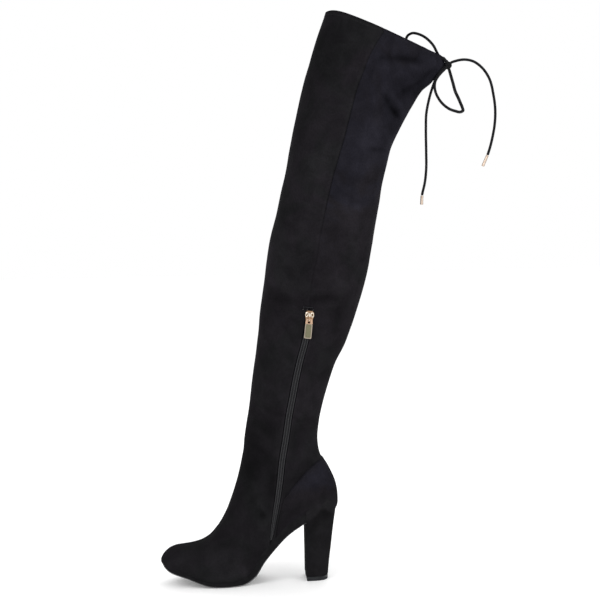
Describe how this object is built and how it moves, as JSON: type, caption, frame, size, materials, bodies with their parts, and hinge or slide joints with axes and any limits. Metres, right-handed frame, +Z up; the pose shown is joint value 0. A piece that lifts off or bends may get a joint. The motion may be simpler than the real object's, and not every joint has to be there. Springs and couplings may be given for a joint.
{
  "type": "over-the-knee boot",
  "caption": "Tall stretch faux-suede over-the-knee boot with an almond toe, covered block heel, half-length inside zip and a drawstring tied in a bow behind the collar.",
  "frame": {"origin": "on the floor under the middle of the boot's box, its tie left out", "axes": "+Z up along the shaft's height, -Y towards the toe, +X towards the inner side of the foot"},
  "size_m": [0.1186, 0.456, 0.7536],
  "materials": {
    "upper_suede": "matte",
    "heel_cover": "matte",
    "sole_rubber": "matte",
    "footbed": "matte",
    "zip_chain": "satin",
    "zip_metal": "polished",
    "cord": "matte"
  },
  "bodies": {
    "boot": {"upper": "upper_suede", "heel_counter": "upper_suede", "outsole": "sole_rubber", "insole": "footbed", "heel": "heel_cover", "heel_tip": "sole_rubber", "zip_chain": "zip_chain", "zip_slider": "zip_metal", "tie_knot": "cord", "tie_lead_inner": "cord", "tie_lead_outer": "cord", "tie_loop_upper": "cord", "tie_loop_lower": "cord", "tie_end_right": "cord", "tie_end_left": "cord", "aglet_right": "zip_metal", "aglet_left": "zip_metal"},
    "zip_pull": {"zip_pull": "zip_metal"}
  },
  "joints": [
    {"name": "zip_pull_hinge", "type": "hinge", "parent": "boot", "child": "zip_pull", "pos_m": [0.05677, 0.00732, 0.35623], "axis": [0.0072, -0.9945, 0.1045], "range_deg": [0, 125]}
  ]
}
